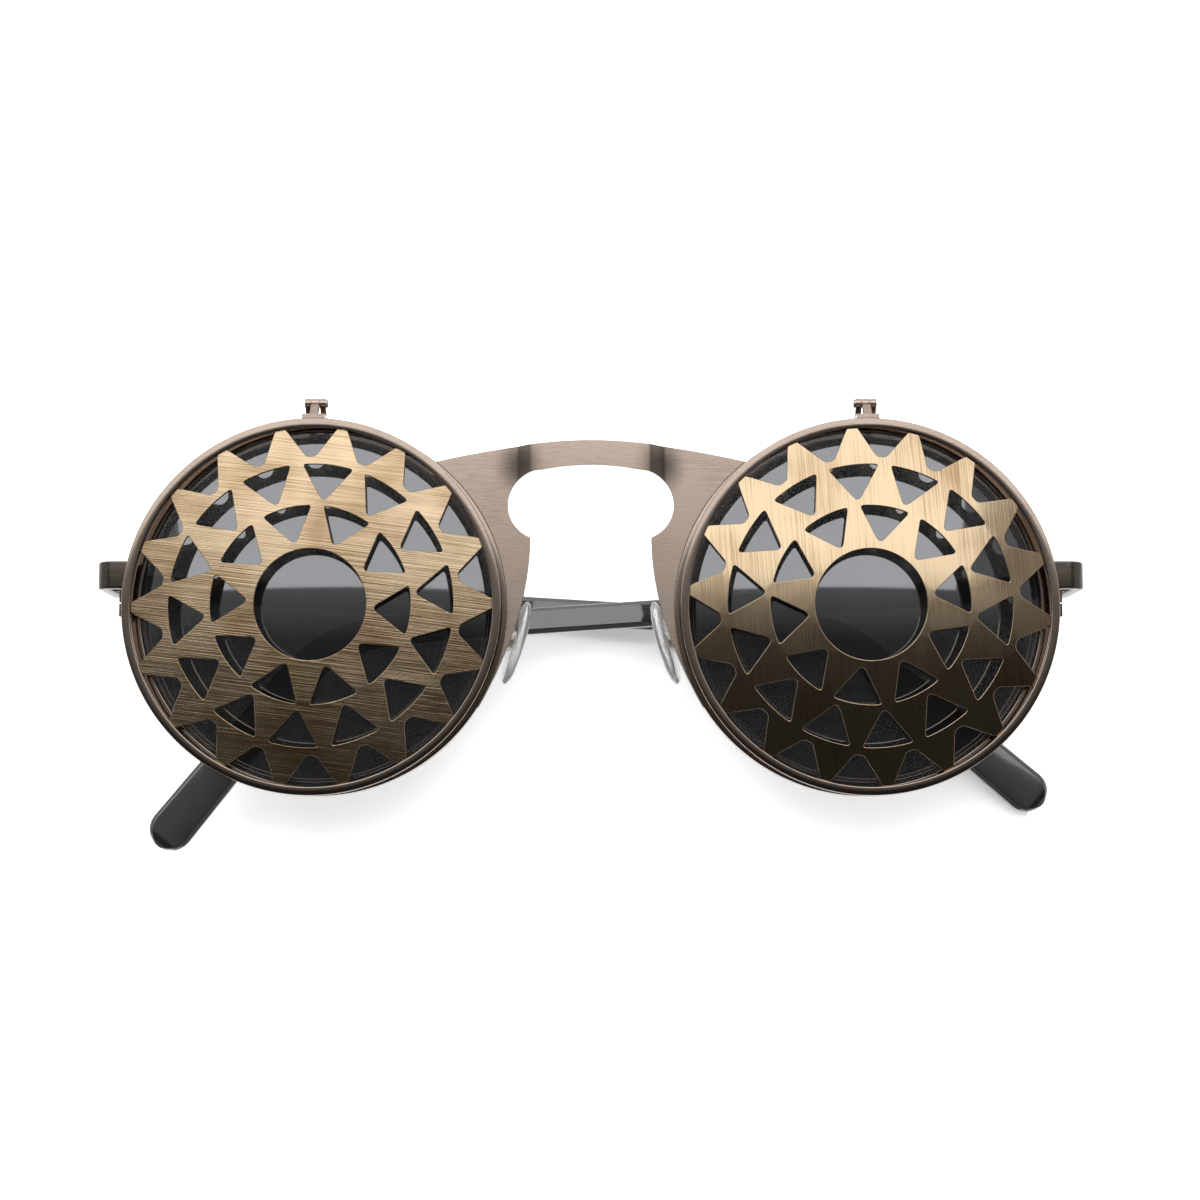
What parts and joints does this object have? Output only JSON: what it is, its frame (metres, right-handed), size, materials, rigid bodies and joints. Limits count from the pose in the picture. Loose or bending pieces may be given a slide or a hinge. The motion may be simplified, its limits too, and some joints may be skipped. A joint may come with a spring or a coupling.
{
  "type": "flip-up spectacles",
  "caption": "Round metal spectacles with flip-up pierced sunburst screens, folding temples, clear nose pads and smoke-tinted lenses.",
  "frame": {"origin": "centre of the bounding box in X and Y, on the surface that the folded spectacles lie on", "axes": "+X across the front to the viewer's right, +Y towards the brow, +Z out of the front"},
  "size_m": [0.1394, 0.0636, 0.0224],
  "materials": {
    "bronze_frame": "antique bronze plate, finely brushed and lacquered",
    "brushed_screen": "antique brass sheet with coarse straight brushing and dark patina",
    "dark_bronze": "dark antique bronze, satin",
    "bronze_arm": "antique bronze plate, brushed lengthwise",
    "screw_steel": "plated screw steel, turned",
    "smoke_lens": "smoke-grey polished lens",
    "black_sleeve": "polished black acetate",
    "pad_metal": "plated wire",
    "clear_pad": "clear soft silicone"
  },
  "bodies": {
    "front": {"bridge_plate": "bronze_frame", "rim_left": "bronze_frame", "rim_right": "bronze_frame", "lens_left": "smoke_lens", "lens_right": "smoke_lens", "flip_base_left": "dark_bronze", "flip_base_right": "dark_bronze", "endpiece_left": "bronze_frame", "endpiece_right": "bronze_frame", "rim_lock_left": "dark_bronze", "rim_lock_right": "dark_bronze", "rim_lock_screw_left": "screw_steel", "rim_lock_screw_right": "screw_steel", "hinge_front_left": "dark_bronze", "hinge_front_right": "dark_bronze", "pad_arm_left": "pad_metal", "pad_arm_right": "pad_metal", "pad_box_left": "pad_metal", "pad_box_right": "pad_metal", "nose_pad_left": "clear_pad", "nose_pad_right": "clear_pad"},
    "flip_left": {"flip_rim_left": "bronze_frame", "screen_left": "brushed_screen", "flip_leaf_left": "bronze_frame", "flip_screw_left": "screw_steel"},
    "temple_left": {"temple_arm_left": "bronze_arm", "sleeve_left": "black_sleeve", "hinge_rear_left": "dark_bronze", "temple_screw_left": "screw_steel"},
    "flip_right": {"flip_rim_right": "bronze_frame", "screen_right": "brushed_screen", "flip_leaf_right": "bronze_frame", "flip_screw_right": "screw_steel"},
    "temple_right": {"temple_arm_right": "bronze_arm", "sleeve_right": "black_sleeve", "hinge_rear_right": "dark_bronze", "temple_screw_right": "screw_steel"}
  },
  "joints": [
    {"name": "temple_left_fold", "type": "hinge", "parent": "front", "child": "temple_left", "pos_m": [-0.0664, 0.0069, 0.004], "axis": [0.0593, 0.9982, 0], "range_deg": [0, 90]},
    {"name": "temple_right_fold", "type": "hinge", "parent": "front", "child": "temple_right", "pos_m": [0.0664, 0.0069, 0.004], "axis": [0.0767, -0.9971, 0], "range_deg": [0, 95.12]},
    {"name": "flip_left_lift", "type": "hinge", "parent": "front", "child": "flip_left", "pos_m": [-0.0389, 0.0311, 0.0185], "axis": [-1, 0, 0], "range_deg": [0, 95]},
    {"name": "flip_right_lift", "type": "hinge", "parent": "front", "child": "flip_right", "pos_m": [0.0389, 0.0311, 0.0185], "axis": [-1, 0, 0], "range_deg": [0, 95]}
  ]
}
